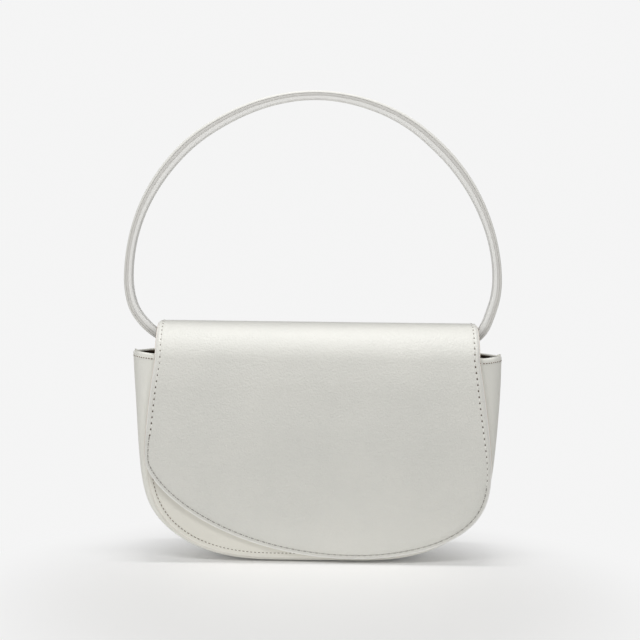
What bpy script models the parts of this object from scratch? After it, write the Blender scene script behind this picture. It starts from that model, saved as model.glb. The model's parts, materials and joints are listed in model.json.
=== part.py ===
# Half moon bag with a rolled front flap and an arched top handle, in metres with Z up
import math

import bmesh
import bpy
from mathutils import Vector

# Clearance between pieces that touch, and between the flap and what it closes over
neighbour_gap = 0.0003
flap_clearance = 0.0004
rim_clearance = 0.0006
cut_overrun = 0.002

# Body: a half moon seen from the front, a wedge seen from the side
rim_height = 0.137
seam_half_widest = 0.1153
widest_height = 0.068
floor_half = 0.030
corner_power = 2.5
half_depth_floor = 0.0295
half_depth_rim = 0.0215
low_bulge = 0.0028
low_bulge_height = 0.042
full_bulge = 0.0137
full_bulge_rise = 0.011
side_steps = 6
corner_steps = 12

# Gusset: one strip round the sides and bottom, with turned-in flanges
gusset_thickness = 0.0014
bend_radius = 0.003
flange_width = 0.008
flange_least = 0.0012
flange_taper_start = 0.019
flange_taper_end = 0.008
plan_power_floor = 5.0
plan_power_rim = 2.2
plan_steps = 10

# Panels lapped over the flanges, with boards and linings behind them
panel_thickness = 0.0016
lining_thickness = 0.0009
lining_inset = 0.0034
panel_top_inset = 0.0034
panel_top_inset_drop = 0.052
front_drop = 0.004
facing_height = 0.020
gusset_facing_height = 0.010

# Closure: a magnet behind the front panel and a steel keeper in the flap
closure_height = 0.040
closure_radius = 0.008
closure_sides = 28

# Flap: a half-round roll over the mouth, then a flat front
roll_drop = 0.0043
hinge_drop = 0.003
hinge_clearance = 0.0009
flap_leather_thickness = 0.0012
flap_board_thickness = 0.0006
flap_lining_thickness = 0.0006
flap_board_inset = 0.007
flap_lining_start = 0.0016
roll_steps = 16

# Flap outline: wider and rounder at its right corner than at its left
flap_left_top = 0.1074
flap_left_widest = 0.1127
flap_left_widest_z = 0.073
flap_left_side_power = 1.4
flap_left_power = 1.9
flap_right_top = 0.1066
flap_right_widest = 0.1151
flap_right_widest_z = 0.065
flap_right_side_power = 1.25
flap_right_power = 2.5
flap_tip_x = 0.0286
flap_tip_z = 0.0019
tip_flat_share = 0.998
flap_side_steps = 8
flap_corner_steps = 16

# Handle: three layers bent to an arch, narrower where the ends go under the roll
handle_hinge_rise = 0.0064
foot_tuck = 0.0144
foot_half_width = 0.0317
foot_drop = 0.0431
arch_rise = 0.1218
handle_width = 0.011
handle_thickness = 0.007
handle_core_thickness = 0.0019
handle_crown = 0.0009
crown_edge = 0.0012
crown_edge_share = 0.25
handle_end_share = 0.8
handle_start_degrees = 11.0
handle_full_degrees = 45.0
arch_steps = 18
foot_steps = 8

# Handle ends: a barrel on a steel pin, held by a folded leather tab on the back
pin_radius = 0.0015
barrel_radius = 0.0034
barrel_length = 0.0054
end_plate = 0.0012
end_neck = 0.0004
end_corner_power = 5.0
end_steps = 24
tab_width = 0.007
tab_thickness = 0.0012
tab_foot_drop = 0.029
tab_bend_drop = 0.010
tab_neck = 0.008
tab_tail = 0.014
tab_tail_share = 1.4
tab_wrap_degrees = 220.0
loop_steps = 12

# Colours of the pieces, as red, green and blue
leather_colour = (0.78, 0.76, 0.71)
lining_colour = (0.42, 0.36, 0.30)
board_colour = (0.62, 0.55, 0.44)
steel_colour = (0.70, 0.69, 0.66)


def mix(first, last, share):
    return first + (last - first) * share


def ease(share):
    share = min(max(share, 0.0), 1.0)
    return (1.0 - math.cos(math.pi * share)) / 2.0


def half_depth(z):
    return mix(half_depth_floor, half_depth_rim, z / rim_height)


# The gusset stands out a little low down, and opens wide towards the rim
def bulge(z):
    opening = (z - low_bulge_height) / (rim_height + full_bulge_rise - low_bulge_height)
    return low_bulge * ease(z / low_bulge_height) + (full_bulge - low_bulge) * ease(opening)


# Roll of the flap, from the back panel's own plane to just clear of the front panel
roll_centre_z = rim_height - roll_drop
flap_thickness = (flap_leather_thickness + flap_board_thickness + flap_lining_thickness
                  + 2 * neighbour_gap)
roll_back = (half_depth(roll_centre_z) + neighbour_gap
             + (panel_thickness + flap_leather_thickness) / 2)
roll_front = (half_depth(roll_centre_z) + neighbour_gap + panel_thickness
              + flap_clearance + flap_thickness)
roll_radius = (roll_back + roll_front) / 2
roll_centre_y = (roll_back - roll_front) / 2

# Hinge line of the flap, on the middle of its leather at the back of the roll
flap_hinge_z = rim_height - hinge_drop
leather_middle = roll_radius - flap_leather_thickness / 2
flap_hinge_y = roll_centre_y + math.sqrt(
    leather_middle ** 2 - (flap_hinge_z - roll_centre_z) ** 2)
back_top = flap_hinge_z - flap_leather_thickness / 2 - hinge_clearance
front_top = rim_height - front_drop

# The gusset stands clear of the roll's ends
seam_half_top = flap_left_top + bend_radius + flange_least + rim_clearance
floor_flat_level = math.cos(math.pi / plan_steps) ** (2 / plan_power_floor)

# Handle arch, and its hinge line through both feet above the middle of the roll
handle_y = roll_centre_y
handle_hinge_z = rim_height + handle_hinge_rise
foot_centre_x = flap_left_top - foot_tuck
arch_half_width = foot_centre_x + foot_half_width
arch_centre_z = handle_hinge_z + foot_drop

# Along the hinge line, from the end of the strap inwards
strap_start_x = foot_centre_x + foot_half_width * math.sin(math.radians(handle_start_degrees))
barrel_outer_x = strap_start_x - neighbour_gap - end_plate - end_neck
barrel_inner_x = barrel_outer_x - barrel_length
bore_radius = pin_radius + neighbour_gap
bore_depth_x = barrel_outer_x - neighbour_gap
pin_outer_x = bore_depth_x - neighbour_gap
tab_outer_x = barrel_inner_x - neighbour_gap
tab_inner_x = tab_outer_x - tab_width
pin_inner_x = tab_inner_x - neighbour_gap

# Flat front of the flap, parallel to the front panel
lean = math.atan2(half_depth_floor - half_depth_rim, rim_height)
front_start_y = roll_centre_y - roll_radius * math.cos(lean)
front_start_z = roll_centre_z + roll_radius * math.sin(lean)
front_normal = Vector((0.0, -math.cos(lean), math.sin(lean)))

# The part stands centred over its own footprint
front_most = front_start_y - (front_start_z - flap_tip_z) * math.tan(lean)
back_most = half_depth(bend_radius) + neighbour_gap + panel_thickness
footprint_middle = (front_most + back_most) / 2
flap_axis = Vector((0.0, flap_hinge_y, flap_hinge_z))
handle_axis = Vector((0.0, handle_y, handle_hinge_z))
body_origin = Vector((0.0, 0.0, 0.0))


def material(name, colour):
    paint = bpy.data.materials.get(name)
    if paint is None:
        paint = bpy.data.materials.new(name)
        paint.use_nodes = True
        shader = paint.node_tree.nodes["Principled BSDF"]
        shader.inputs["Base Color"].default_value = (*colour, 1.0)
        shader.inputs["Roughness"].default_value = 0.6
    return paint


def add_object(name, mesh_in_work, colour, origin=body_origin):
    bmesh.ops.recalc_face_normals(mesh_in_work, faces=mesh_in_work.faces)
    bmesh.ops.translate(mesh_in_work, verts=mesh_in_work.verts, vec=-origin)
    mesh = bpy.data.meshes.new(name)
    mesh_in_work.to_mesh(mesh)
    mesh_in_work.free()
    piece = bpy.data.objects.new(name, mesh)
    piece.location = origin - Vector((0.0, footprint_middle, 0.0))
    mesh.materials.append(material(name + "_finish", colour))
    bpy.context.scene.collection.objects.link(piece)
    return piece


# A closed body through a row of rings; a folded ring is capped pair by pair
def loft(rings, folded=False):
    work = bmesh.new()
    rows = [[work.verts.new(point) for point in ring] for ring in rings]
    count = len(rows[0])
    for row, following in zip(rows, rows[1:]):
        for index in range(count):
            after = (index + 1) % count
            work.faces.new((row[index], row[after], following[after], following[index]))
    for row in (rows[0], rows[-1]):
        if folded:
            for index in range(count // 2 - 1):
                opposite = count - 1 - index
                work.faces.new((row[index], row[index + 1], row[opposite - 1], row[opposite]))
        else:
            work.faces.new(row)
    return work


# A line moved sideways by a distance, mitred at its corners
def moved_line(points, distance):
    moved = []
    for index, point in enumerate(points):
        before = points[max(index - 1, 0)]
        after = points[min(index + 1, len(points) - 1)]
        first = (point - before).normalized() if index else (after - point).normalized()
        second = (after - point).normalized() if index < len(points) - 1 else first
        along = (first + second).normalized()
        mitre = max(along.dot(first), 0.5)
        moved.append(point + Vector((-along.y, along.x)) * (distance / mitre))
    return moved


def cylinder(centre, axis, radius, length, sides):
    work = bmesh.new()
    bmesh.ops.create_cone(work, cap_ends=True, segments=sides, radius1=radius,
                          radius2=radius, depth=length)
    turn = Vector((0.0, 0.0, 1.0)).rotation_difference(axis)
    bmesh.ops.rotate(work, verts=work.verts, matrix=turn.to_matrix())
    bmesh.ops.translate(work, verts=work.verts, vec=centre)
    return work


# Right half of the front seam, from the rim down to the flat stretch of the floor
def seam_x(z):
    share = (rim_height - z) / (rim_height - widest_height)
    return mix(seam_half_top, seam_half_widest, ease(share))


def seam_side():
    points = []
    for step in range(side_steps):
        z = mix(rim_height, widest_height, step / side_steps)
        points.append(Vector((seam_x(z), z)))
    for step in range(corner_steps + 1):
        turn = math.pi / 2 * step / corner_steps
        across = max(math.cos(turn), 0.0) ** (2 / corner_power)
        down = math.sin(turn) ** (2 / corner_power)
        points.append(Vector((mix(floor_half, seam_half_widest, across),
                              widest_height * (1.0 - down))))
    return points


def outward(points):
    normals = []
    for index in range(len(points)):
        before = points[max(index - 1, 0)]
        after = points[min(index + 1, len(points) - 1)]
        along = (after - before).normalized()
        normals.append(Vector((-along.y, along.x)))
    return normals


side = seam_side()
side_normals = outward(side)
side_normals[-1] = Vector((0.0, -1.0))
upright = Vector((1.0, 0.0))
for index, point in enumerate(side):
    if point.y > widest_height:
        side_normals[index] = upright


# Half outline of a panel that lies inside the seam and stops at a top height
def panel_side(inset, top, top_inset=0.0):
    def narrower(z):
        return top_inset * ease((z - rim_height) / panel_top_inset_drop + 1.0)

    points = [Vector((seam_x(top) - inset - narrower(top), top))]
    for point, normal in zip(side, side_normals):
        moved = point - normal * inset
        if moved.y < top - bend_radius:
            points.append(Vector((moved.x - narrower(moved.y), moved.y)))
    return points


# Panel with its outer face at a given depth inside the gusset's outer flange face
def panel(outline, depth, thickness, facing):
    rings = []
    for x, z in outline:
        outer = facing * (half_depth(z) - depth)
        inner = outer - facing * thickness
        rings.append([(-x, outer, z), (x, outer, z), (x, inner, z), (-x, inner, z)])
    return loft(rings)


# Section of the side strip: depths inside the seam against distance from the middle
def strip_section(z, half, inset, bend):
    power = mix(plan_power_floor, plan_power_rim, z / rim_height)
    line = []
    for step in range(plan_steps + 1):
        turn = math.pi * (step / plan_steps - 0.5)
        across = math.copysign(abs(math.sin(turn)) ** (2 / power), turn)
        out = max(math.cos(turn), 0.0) ** (2 / power)
        out = min(out / mix(floor_flat_level, 1.0, z / rim_height), 1.0)
        line.append(Vector((half * across, inset + bend - (bend + bulge(z)) * out)))
    return line


def strip(stations, section, thickness):
    rings = []
    for (x, z), normal in stations:
        outer = section(z)
        inner = moved_line(outer, thickness)
        ring = []
        for y, inside in outer + inner[::-1]:
            level = z - normal.y * inside
            wedge = half_depth(level) / half_depth(z)
            ring.append((x - normal.x * inside, y * wedge, level))
        rings.append(ring)
    return loft(rings, folded=True)


def gusset_section(z):
    share = (z - rim_height + flange_taper_start) / (flange_taper_start - flange_taper_end)
    flange = mix(flange_width, flange_least, min(max(share, 0.0), 1.0))
    line = strip_section(z, half_depth(z), 0.0, bend_radius)
    end = bend_radius + flange
    return [Vector((-half_depth(z), end))] + line + [Vector((half_depth(z), end))]


def strip_lining_section(z):
    inset = gusset_thickness + neighbour_gap
    half = half_depth(z) - gusset_thickness - lining_thickness - 2 * neighbour_gap
    return strip_section(z, half, inset, lining_inset - inset - neighbour_gap)


# Stations of the strip from one height to another down one side, or right round
def side_stations(low, high, mirror=1.0):
    stations = []
    for point, normal in zip(side, side_normals):
        if low < point.y < high:
            stations.append((point, normal))
    for z in (low, high):
        if z > widest_height:
            place = 0 if z == high else len(stations)
            stations.insert(place, (Vector((seam_x(z), z)), upright))
    return [(Vector((mirror * point.x, point.y)), Vector((mirror * normal.x, normal.y)))
            for point, normal in stations]


def round_stations(high):
    right = side_stations(-rim_height, high)
    left = side_stations(-rim_height, high, -1.0)
    return left + right[::-1]


# Flap levels: half outlines on both sides at each height of the flat front
def flare(z, widest_z, power):
    left_over = (z - widest_z) / (front_start_z - widest_z)
    return 1.0 - min(left_over, 1.0) ** power


def flap_left(z, inset):
    widest = flap_left_widest - inset
    drop = flap_left_widest_z - z
    if drop <= 0:
        share = flare(z, flap_left_widest_z, flap_left_side_power)
        return -mix(flap_left_top - inset, widest, share)
    down = drop / (flap_left_widest_z - flap_tip_z - inset)
    reach = max(1.0 - down ** flap_left_power, 0.0) ** (1 / flap_left_power)
    return flap_tip_x - (flap_tip_x + widest) * reach


def flap_right(z, inset):
    widest = flap_right_widest - inset
    drop = flap_right_widest_z - z
    if drop <= 0:
        share = flare(z, flap_right_widest_z, flap_right_side_power)
        return mix(flap_right_top - inset, widest, share)
    down = drop / (flap_right_widest_z - flap_tip_z - inset)
    reach = max(1.0 - down ** flap_right_power, 0.0) ** (1 / flap_right_power)
    return flap_tip_x + (widest - flap_tip_x) * reach


def flap_sheet(depth, thickness, inset, start):
    rings = []
    first_turn = math.asin((flap_hinge_z + start - roll_centre_z) / leather_middle)
    for step in range(roll_steps + 1):
        turn = mix(first_turn, math.pi - lean, step / roll_steps)
        points = []
        for deep in (depth, depth + thickness):
            reach = roll_radius - deep
            points.append((roll_centre_y + reach * math.cos(turn),
                           roll_centre_z + reach * math.sin(turn)))
        (outer_y, outer_z), (inner_y, inner_z) = points
        left = inset - flap_left_top
        right = flap_right_top - inset
        rings.append([(left, outer_y, outer_z), (right, outer_y, outer_z),
                      (right, inner_y, inner_z), (left, inner_y, inner_z)])
    heights = []
    for step in range(1, flap_side_steps + 1):
        heights.append(mix(front_start_z, flap_right_widest_z, step / flap_side_steps))
    low = flap_tip_z + inset
    for step in range(1, flap_corner_steps + 1):
        down = tip_flat_share * math.sin(math.pi / 2 * step / flap_corner_steps)
        heights.append(mix(flap_right_widest_z, low, down))
    for z in heights:
        left = flap_left(z, inset)
        right = flap_right(z, inset)
        face_y = front_start_y - (front_start_z - z) * math.tan(lean)
        ring = []
        for deep in (depth, depth + thickness):
            y = face_y + deep * math.cos(lean)
            level = z - deep * math.sin(lean)
            pair = [(left, y, level), (right, y, level)]
            ring += pair if deep == depth else pair[::-1]
        rings.append(ring)
    return loft(rings)


# Handle path on the right: under the roll, out over the rim and up to the top
def handle_point(degrees, on_arch):
    turn = math.radians(degrees)
    if on_arch:
        place = Vector((arch_half_width * math.cos(turn), arch_centre_z + arch_rise * math.sin(turn)))
        along = Vector((-arch_half_width * math.sin(turn), arch_rise * math.cos(turn)))
        return place, along.normalized(), 1.0
    place = Vector((foot_centre_x + foot_half_width * math.sin(turn),
                    arch_centre_z - foot_drop * math.cos(turn)))
    along = Vector((foot_half_width * math.cos(turn), foot_drop * math.sin(turn)))
    share = (degrees - handle_start_degrees) / (handle_full_degrees - handle_start_degrees)
    return place, along.normalized(), mix(handle_end_share, 1.0, ease(share))


def handle_stations():
    right = []
    for step in range(foot_steps):
        right.append(handle_point(mix(handle_start_degrees, 90.0, step / foot_steps), False))
    for step in range(arch_steps):
        right.append(handle_point(90.0 * step / arch_steps, True))
    top = [handle_point(90.0, True)]
    left = []
    for place, along, share in right[::-1]:
        left.append((Vector((-place.x, place.y)), Vector((along.x, -along.y)), share))
    return right + top + left


def handle_layer(section):
    rings = []
    for place, along, share in handle_stations():
        out = Vector((along.y, -along.x))
        ring = []
        for y, off in section:
            spot = place + out * (off * share)
            ring.append((spot.x, handle_y + y * share, spot.y))
        rings.append(ring)
    return loft(rings)


def crowned(base, crest):
    half = handle_width / 2
    shoulder = crest - math.copysign(handle_crown, crest)
    rounding = crest - math.copysign(handle_crown * crown_edge_share, crest)
    return [(-half, base), (-half, shoulder), (crown_edge - half, rounding), (0.0, crest),
            (half - crown_edge, rounding), (half, shoulder), (half, base)]


def handle_end(mirror):
    rings = []
    for x, radius in ((bore_depth_x, bore_radius), (barrel_inner_x, bore_radius),
                      (barrel_inner_x, barrel_radius), (barrel_outer_x, barrel_radius)):
        ring = []
        for step in range(end_steps):
            turn = 2 * math.pi * step / end_steps
            ring.append((mirror * x, handle_y + radius * math.cos(turn),
                         handle_hinge_z + radius * math.sin(turn)))
        rings.append(ring)
    place, along, share = handle_point(handle_start_degrees, False)
    out = Vector((-along.y, along.x))
    half = handle_width / 2 * handle_end_share
    high = handle_thickness / 2 * handle_end_share
    squareness = 2 / end_corner_power
    for back in (neighbour_gap + end_plate, neighbour_gap):
        ring = []
        for step in range(end_steps):
            turn = 2 * math.pi * step / end_steps
            y = half * math.copysign(abs(math.cos(turn)) ** squareness, math.cos(turn))
            off = high * math.copysign(abs(math.sin(turn)) ** squareness, math.sin(turn))
            spot = place - along * back + out * off
            ring.append((mirror * spot.x, handle_y + y, spot.y))
        rings.append(ring)
    return loft(rings)


# Leather tab: a foot on the back facing, then a neck that folds round the pin
def tab_line():
    def foot(z):
        inside = gusset_thickness + lining_thickness + 2 * neighbour_gap + tab_thickness / 2
        return Vector((half_depth(z) - inside, z))
    centre = Vector((handle_y, handle_hinge_z))
    bend = foot(rim_height - tab_bend_drop)
    back = (bend - centre).normalized()
    up = Vector((-back.y, back.x))
    radius = bore_radius + tab_thickness / 2
    half_fold = (tab_thickness + neighbour_gap) / 2
    line = [foot(rim_height - tab_foot_drop), bend, centre + back * tab_neck + up * half_fold]
    for step in range(loop_steps + 1):
        turn = math.pi / 2 + math.radians(tab_wrap_degrees) * (step / loop_steps - 0.5)
        line.append(centre + (up * math.cos(turn) - back * math.sin(turn)) * radius)
    line.append(centre + back * tab_neck - up * half_fold)
    line.append(centre + back * tab_tail - up * (tab_tail_share * half_fold))
    return line


def anchor_tab(mirror):
    line = tab_line()
    near = moved_line(line, tab_thickness / 2)
    far = moved_line(line, -tab_thickness / 2)
    rings = []
    for a, b in zip(near, far):
        rings.append([(mirror * tab_inner_x, a.x, a.y), (mirror * tab_outer_x, a.x, a.y),
                      (mirror * tab_outer_x, b.x, b.y), (mirror * tab_inner_x, b.x, b.y)])
    return loft(rings)


def cut_round(board, centre, depth):
    hole = cylinder(centre, front_normal, closure_radius + neighbour_gap, depth, closure_sides)
    cutter = add_object(board.name + "_hole", hole, board_colour)
    cutter.hide_render = True
    cutter.display_type = "WIRE"
    cut = board.modifiers.new("hole", "BOOLEAN")
    cut.operation = "DIFFERENCE"
    cut.solver = "EXACT"
    cut.object = cutter


for leftover in list(bpy.data.objects):
    bpy.data.objects.remove(leftover, do_unlink=True)

# Body leather
add_object("gusset", strip(round_stations(rim_height), gusset_section, gusset_thickness),
           leather_colour)
lap = -neighbour_gap - panel_thickness
for name, top, facing in (("front", front_top, -1), ("back", back_top, 1)):
    add_object(name + "_panel", panel(panel_side(bend_radius, top, panel_top_inset),
               lap, panel_thickness, facing), leather_colour)

# Boards behind the panels, inside the flanges
board_inset = bend_radius + flange_width + neighbour_gap
front_board = add_object("front_board", panel(
    panel_side(board_inset, front_top), 0.0, gusset_thickness, -1), board_colour)
add_object("back_board", panel(
    panel_side(board_inset, back_top), 0.0, gusset_thickness, 1), board_colour)

# Linings, with a leather facing along each top edge
lining_depth = gusset_thickness + neighbour_gap
for name, top, facing in (("front", front_top, -1), ("back", back_top, 1)):
    seam = top - facing_height
    add_object(name + "_lining", panel(panel_side(lining_inset, seam - neighbour_gap),
               lining_depth, lining_thickness, facing), lining_colour)
    strip_ends = [Vector((seam_x(z) - lining_inset, z)) for z in (top, seam)]
    add_object(name + "_facing", panel(strip_ends, lining_depth, lining_thickness, facing),
               leather_colour)
gusset_seam = rim_height - gusset_facing_height
add_object("gusset_lining", strip(round_stations(gusset_seam - neighbour_gap),
           strip_lining_section, lining_thickness), lining_colour)
for name, mirror in (("left", -1.0), ("right", 1.0)):
    add_object("gusset_facing_" + name, strip(side_stations(gusset_seam, rim_height, mirror),
               strip_lining_section, lining_thickness), leather_colour)

# Magnet in the front board
magnet_y = -(half_depth(closure_height) - gusset_thickness / 2)
magnet_centre = Vector((0.0, magnet_y, closure_height))
cut_round(front_board, magnet_centre, gusset_thickness + 2 * cut_overrun)
add_object("front_magnet", cylinder(magnet_centre, front_normal, closure_radius,
           gusset_thickness, closure_sides), steel_colour)

# Flap
board_depth = flap_leather_thickness + neighbour_gap
flap_lining_depth = board_depth + flap_board_thickness + neighbour_gap
add_object("flap_leather", flap_sheet(0.0, flap_leather_thickness, 0.0, 0.0),
           leather_colour, flap_axis)
flap_board = add_object("flap_board", flap_sheet(
    board_depth, flap_board_thickness, flap_board_inset, flap_lining_start),
    board_colour, flap_axis)
add_object("flap_lining", flap_sheet(flap_lining_depth, flap_lining_thickness, 0.0,
           flap_lining_start), leather_colour, flap_axis)
keeper_y = (front_start_y - (front_start_z - closure_height) * math.tan(lean)
            + (board_depth + flap_board_thickness / 2) / math.cos(lean))
keeper_centre = Vector((0.0, keeper_y, closure_height))
cut_round(flap_board, keeper_centre, flap_board_thickness + 2 * cut_overrun)
add_object("flap_keeper", cylinder(keeper_centre, front_normal, closure_radius,
           flap_board_thickness, closure_sides), steel_colour, flap_axis)

# Handle
half_core = handle_core_thickness / 2
half_strap = handle_width / 2
add_object("handle_outer", handle_layer(crowned(half_core + neighbour_gap, handle_thickness / 2)),
           leather_colour, handle_axis)
add_object("handle_core", handle_layer([(-half_strap, -half_core), (half_strap, -half_core),
           (half_strap, half_core), (-half_strap, half_core)]), leather_colour, handle_axis)
add_object("handle_inner", handle_layer(
    crowned(-half_core - neighbour_gap, -handle_thickness / 2)), leather_colour, handle_axis)

# Handle ends with their pins and tabs
pin_length = pin_outer_x - pin_inner_x
for name, mirror in (("left", -1.0), ("right", 1.0)):
    pin_centre = Vector((mirror * (pin_inner_x + pin_length / 2), handle_y, handle_hinge_z))
    add_object("handle_end_" + name, handle_end(mirror), leather_colour, handle_axis)
    add_object("anchor_pin_" + name, cylinder(pin_centre, Vector((1.0, 0.0, 0.0)), pin_radius,
               pin_length, end_steps), steel_colour)
    add_object("anchor_tab_" + name, anchor_tab(mirror), leather_colour)
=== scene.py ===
import json
import math
import bpy
from mathutils import Matrix, Vector


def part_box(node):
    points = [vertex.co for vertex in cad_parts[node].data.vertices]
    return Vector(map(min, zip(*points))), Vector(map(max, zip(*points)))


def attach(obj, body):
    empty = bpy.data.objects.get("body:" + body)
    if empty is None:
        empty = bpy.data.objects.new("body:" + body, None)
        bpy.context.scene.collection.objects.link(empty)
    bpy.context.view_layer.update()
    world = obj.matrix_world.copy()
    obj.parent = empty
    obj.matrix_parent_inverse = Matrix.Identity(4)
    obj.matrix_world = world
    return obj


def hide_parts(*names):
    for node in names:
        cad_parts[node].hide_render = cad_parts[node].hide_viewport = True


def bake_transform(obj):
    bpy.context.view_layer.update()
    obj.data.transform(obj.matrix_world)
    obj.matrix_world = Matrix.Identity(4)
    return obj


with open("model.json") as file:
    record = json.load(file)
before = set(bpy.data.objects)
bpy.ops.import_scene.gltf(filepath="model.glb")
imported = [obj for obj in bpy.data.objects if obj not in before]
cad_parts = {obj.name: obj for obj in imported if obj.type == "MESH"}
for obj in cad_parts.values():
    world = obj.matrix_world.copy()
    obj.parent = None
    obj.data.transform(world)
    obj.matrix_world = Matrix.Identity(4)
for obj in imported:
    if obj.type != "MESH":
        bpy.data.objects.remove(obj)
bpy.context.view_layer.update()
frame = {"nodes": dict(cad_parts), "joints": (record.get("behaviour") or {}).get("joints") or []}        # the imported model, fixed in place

print("half moon bag: frame loaded")

handleHinge = next(Vector(joint["pos_m"]) for joint in frame["joints"] if joint["name"] == "handle_hinge")

# the shell that everything is sewn to: half depths, outline and bulge of the gusset
body = {
    "rimZ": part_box("gusset")[1].z,
    "middleY": (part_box("front_board")[0].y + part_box("back_board")[1].y) / 2,
    "floorDepth": 0.0295, "rimDepth": 0.0215,
    "topHalf": 0.1122, "widestHalf": 0.1153, "widestZ": 0.068,
    "floorHalf": 0.026, "cornerPower": 2.43,
    "lowBulge": 0.0028, "lowBulgeZ": 0.042, "fullBulge": 0.0137, "fullBulgeRise": 0.011,
    "bend": 0.003, "panelFace": 0.0019, "stitchInset": 0.003,
}
lean = math.atan2(body["floorDepth"] - body["rimDepth"], body["rimZ"])


def mix(first, last, share):
    return first + (last - first) * share


def ease(share):
    share = min(max(share, 0.0), 1.0)
    return (1.0 - math.cos(math.pi * share)) / 2.0


def bell(value, centre, width):
    return math.exp(-((value - centre) / width) ** 2)


def halfDepth(z):
    return mix(body["floorDepth"], body["rimDepth"], z / body["rimZ"])


def seamX(z):
    share = (body["rimZ"] - z) / (body["rimZ"] - body["widestZ"])
    return mix(body["topHalf"], body["widestHalf"], ease(share))


# slow unevenness of soft leather, a few tenths of a millimetre
def slack(a, b, seed):
    return (math.sin(a * 61 + b * 23 + seed) + 0.8 * math.sin(b * 83 - a * 31 + 2.1 * seed)
            + 0.5 * math.sin(a * 139 + b * 97 + 3.7 * seed)) / 2.3


def evenly(points, spacing):
    lengths = [0.0]
    for first, last in zip(points, points[1:]):
        lengths.append(lengths[-1] + (last - first).length)
    count = max(int(round(lengths[-1] / spacing)), 2)
    placed = []
    segment = 0
    for step in range(count + 1):
        want = lengths[-1] * step / count
        while segment < len(points) - 2 and lengths[segment + 1] < want:
            segment += 1
        span = lengths[segment + 1] - lengths[segment]
        share = (want - lengths[segment]) / span if span > 0 else 0.0
        placed.append(points[segment].lerp(points[segment + 1], min(max(share, 0.0), 1.0)))
    return placed


# unit normals to the left of a line of flat points
def sideways(points):
    normals = []
    for index in range(len(points)):
        along = points[min(index + 1, len(points) - 1)] - points[max(index - 1, 0)]
        along.normalize()
        normals.append(Vector((-along.y, along.x)))
    return normals


# the same, turned to point into the leather: upwards at its lowest edge
def inward(line):
    normals = sideways(line)
    if normals[len(normals) // 2].y < 0:
        return normals
    return [-normal for normal in normals]


# across and up on a rounded rectangle's outline, squarer as the power falls
def rounded(turn, power):
    return [math.copysign(abs(part) ** power, part) for part in (math.cos(turn), math.sin(turn))]


def pointAt(points, place):
    place = min(max(place, 0.0), len(points) - 1.0)
    low = min(int(place), len(points) - 2)
    return points[low].lerp(points[low + 1], place - low)


def pick(piece):
    if bpy.context.object and bpy.context.object.mode != "OBJECT":
        bpy.ops.object.mode_set(mode="OBJECT")
    bpy.ops.object.select_all(action="DESELECT")
    piece.select_set(True)
    bpy.context.view_layer.objects.active = piece


# a grid primitive whose points are then put where the piece has them
def gridPiece(name, columns, rows, place):
    bpy.ops.object.select_all(action="DESELECT")
    bpy.ops.mesh.primitive_grid_add(x_subdivisions=columns, y_subdivisions=rows, size=1)
    piece = bpy.context.active_object
    piece.name = name
    piece.data.name = name
    spots = []
    for index in range(len(piece.data.vertices)):
        spots.extend(place(index % (columns + 1), index // (columns + 1)))
    piece.data.vertices.foreach_set("co", spots)
    piece.data.update()
    return piece


def rowPiece(name, rows):
    return gridPiece(name, len(rows[0]) - 1, len(rows) - 1, lambda column, row: rows[row][column])


weldGap, fineGap = 0.000004, 0.000002        # points nearer than this become one


def weld(piece, gap=weldGap, closeHoles=False, recalculate=True):
    pick(piece)
    bpy.ops.object.mode_set(mode="EDIT")
    bpy.ops.mesh.select_all(action="SELECT")
    bpy.ops.mesh.remove_doubles(threshold=gap)
    if closeHoles:
        bpy.ops.mesh.select_all(action="SELECT")
        bpy.ops.mesh.fill_holes(sides=0)
    if recalculate:
        bpy.ops.mesh.select_all(action="SELECT")
        bpy.ops.mesh.normals_make_consistent(inside=False)
    bpy.ops.object.mode_set(mode="OBJECT")
    return piece


# an open sheet has no outside of its own, so it is told where outside is
def faceTowards(piece, index, outside):
    if piece.data.polygons[index].normal.dot(outside) < 0:
        pick(piece)
        bpy.ops.object.mode_set(mode="EDIT")
        bpy.ops.mesh.select_all(action="SELECT")
        bpy.ops.mesh.flip_normals()
        bpy.ops.object.mode_set(mode="OBJECT")
    return piece


def thicken(piece, thickness):
    pick(piece)
    wall = piece.modifiers.new("wall", "SOLIDIFY")
    wall.thickness = thickness
    wall.offset = -1.0
    bpy.ops.object.modifier_apply(modifier=wall.name)
    return piece


def smooth(piece, degrees=35):
    pick(piece)
    bpy.ops.object.shade_smooth_by_angle(angle=math.radians(degrees))
    return piece


def joined(name, pieces):
    bpy.ops.object.select_all(action="DESELECT")
    for piece in pieces:
        piece.select_set(True)
    bpy.context.view_layer.objects.active = pieces[0]
    bpy.ops.object.join()
    pieces[0].name = name
    pieces[0].data.name = name
    return pieces[0]


# a strip that runs from the left rim under the bag to the right one, rowOf giving each row of a half
def stripPiece(name, rowOf, places, thickness):
    left, right = ([rowOf(station, depth, mirror) for station, depth in places] for mirror in (-1, 1))
    rows = left + right[::-1][1:]
    piece = weld(rowPiece(name, rows), recalculate=False)
    middle = len(rows) // 2 * (len(rows[0]) - 1) + len(rows[0]) // 2
    faceTowards(piece, middle, Vector((0.0, 0.0, -1.0)))
    return smooth(thicken(piece, thickness))


# a tube of grid rings, closed at both ends
def tubePiece(piece, degrees=50):
    return smooth(weld(piece, fineGap, closeHoles=True), degrees)


# the piece stands for these CAD nodes, which are hidden
def standFor(piece, *nodes):
    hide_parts(*nodes)


# the same for a piece that rides on one body, with the threads and paint that go with it
def settle(carrier, nodes, piece, *trims):
    for part in (piece, *trims):
        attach(part, carrier)
    standFor(piece, *nodes)


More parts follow.
